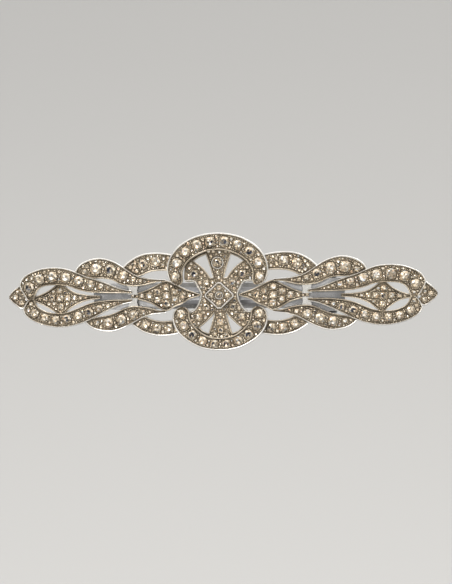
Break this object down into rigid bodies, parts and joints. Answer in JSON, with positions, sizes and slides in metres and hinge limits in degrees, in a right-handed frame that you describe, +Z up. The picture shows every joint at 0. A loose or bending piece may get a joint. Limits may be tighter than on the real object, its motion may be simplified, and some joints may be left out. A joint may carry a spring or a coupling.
{
  "type": "rhinestone hair clip",
  "caption": "Long curved hair clip: stone-set openwork medallion and wings on a sprung barrette with a hinged arm, tension bow and pinch catch.",
  "frame": {"origin": "middle of the gap that holds the hair, behind the medallion, on the clip's centre line", "axes": "+X along the length towards the hinge, +Z up across the width, +Y away from the ornament towards the hair and arm"},
  "size_m": [0.105, 0.0151, 0.0285],
  "materials": {
    "plated_casting": "bright plated zinc casting, rims polished, floors darkened",
    "clip_steel": "nickel-plated steel strip",
    "spring_steel": "nickel-plated spring steel",
    "stone": "faceted clear glass with a foiled back"
  },
  "bodies": {
    "ornament": {"centre_medallion": "plated_casting", "clip_base_plate": "clip_steel", "hinge_rivet": "clip_steel", "left_wing": "plated_casting", "mount_rivet_centre": "clip_steel", "mount_rivet_left": "clip_steel", "mount_rivet_right": "clip_steel", "right_wing": "plated_casting", "stone_centre_east": "stone", "stone_centre_middle": "stone", "stone_centre_north": "stone", "stone_centre_south": "stone", "stone_centre_west": "stone", "stone_crescent_lower_01": "stone", "stone_crescent_lower_02": "stone", "stone_crescent_lower_03": "stone", "stone_crescent_lower_04": "stone", "stone_crescent_lower_05": "stone", "stone_crescent_lower_06": "stone", "stone_crescent_lower_07": "stone", "stone_crescent_lower_08": "stone", "stone_crescent_lower_09": "stone", "stone_crescent_lower_10": "stone", "stone_crescent_upper_01": "stone", "stone_crescent_upper_02": "stone", "stone_crescent_upper_03": "stone", "stone_crescent_upper_04": "stone", "stone_crescent_upper_05": "stone", "stone_crescent_upper_06": "stone", "stone_crescent_upper_07": "stone", "stone_crescent_upper_08": "stone", "stone_crescent_upper_09": "stone", "stone_crescent_upper_10": "stone", "stone_cross_n": "stone", "stone_cross_ne_inner": "stone", "stone_cross_ne_outer": "stone", "stone_cross_nw_inner": "stone", "stone_cross_nw_outer": "stone", "stone_cross_s": "stone", "stone_cross_se_inner": "stone", "stone_cross_se_outer": "stone", "stone_cross_sw_inner": "stone", "stone_cross_sw_outer": "stone", "stone_left_leaf_lower": "stone", "stone_left_leaf_upper": "stone", "stone_left_loop_lower": "stone", "stone_left_loop_upper": "stone", "stone_right_leaf_lower": "stone", "stone_right_leaf_upper": "stone", "stone_right_loop_lower": "stone", "stone_right_loop_upper": "stone"},
    "arm": {"clip_arm": "clip_steel"},
    "bow": {"tension_bow": "spring_steel"},
    "prong_upper": {"catch_prong_upper": "spring_steel"},
    "prong_lower": {"catch_prong_lower": "spring_steel"}
  },
  "joints": [
    {"name": "arm_hinge", "type": "hinge", "parent": "ornament", "child": "arm", "pos_m": [0.027, -0.003, 0], "axis": [0, 0, -1], "range_deg": [0, 100]},
    {"name": "bow_hinge", "type": "hinge", "parent": "ornament", "child": "bow", "pos_m": [0.027, -0.003, 0], "axis": [0, 0, -1], "range_deg": [0, 30]},
    {"name": "prong_upper_pinch", "type": "hinge", "parent": "ornament", "child": "prong_upper", "pos_m": [-0.0283, -0.0055, 0.00125], "axis": [-1, 0, 0], "range_deg": [0, 8], "stiffness_Nm_per_rad": 0.2},
    {"name": "prong_lower_pinch", "type": "hinge", "parent": "ornament", "child": "prong_lower", "pos_m": [-0.0283, -0.0055, -0.00125], "axis": [1, 0, 0], "range_deg": [0, 8], "stiffness_Nm_per_rad": 0.2}
  ],
  "couplings": [
    {"joint": "bow_hinge", "follows": "arm_hinge", "ratio": 0.3}
  ]
}
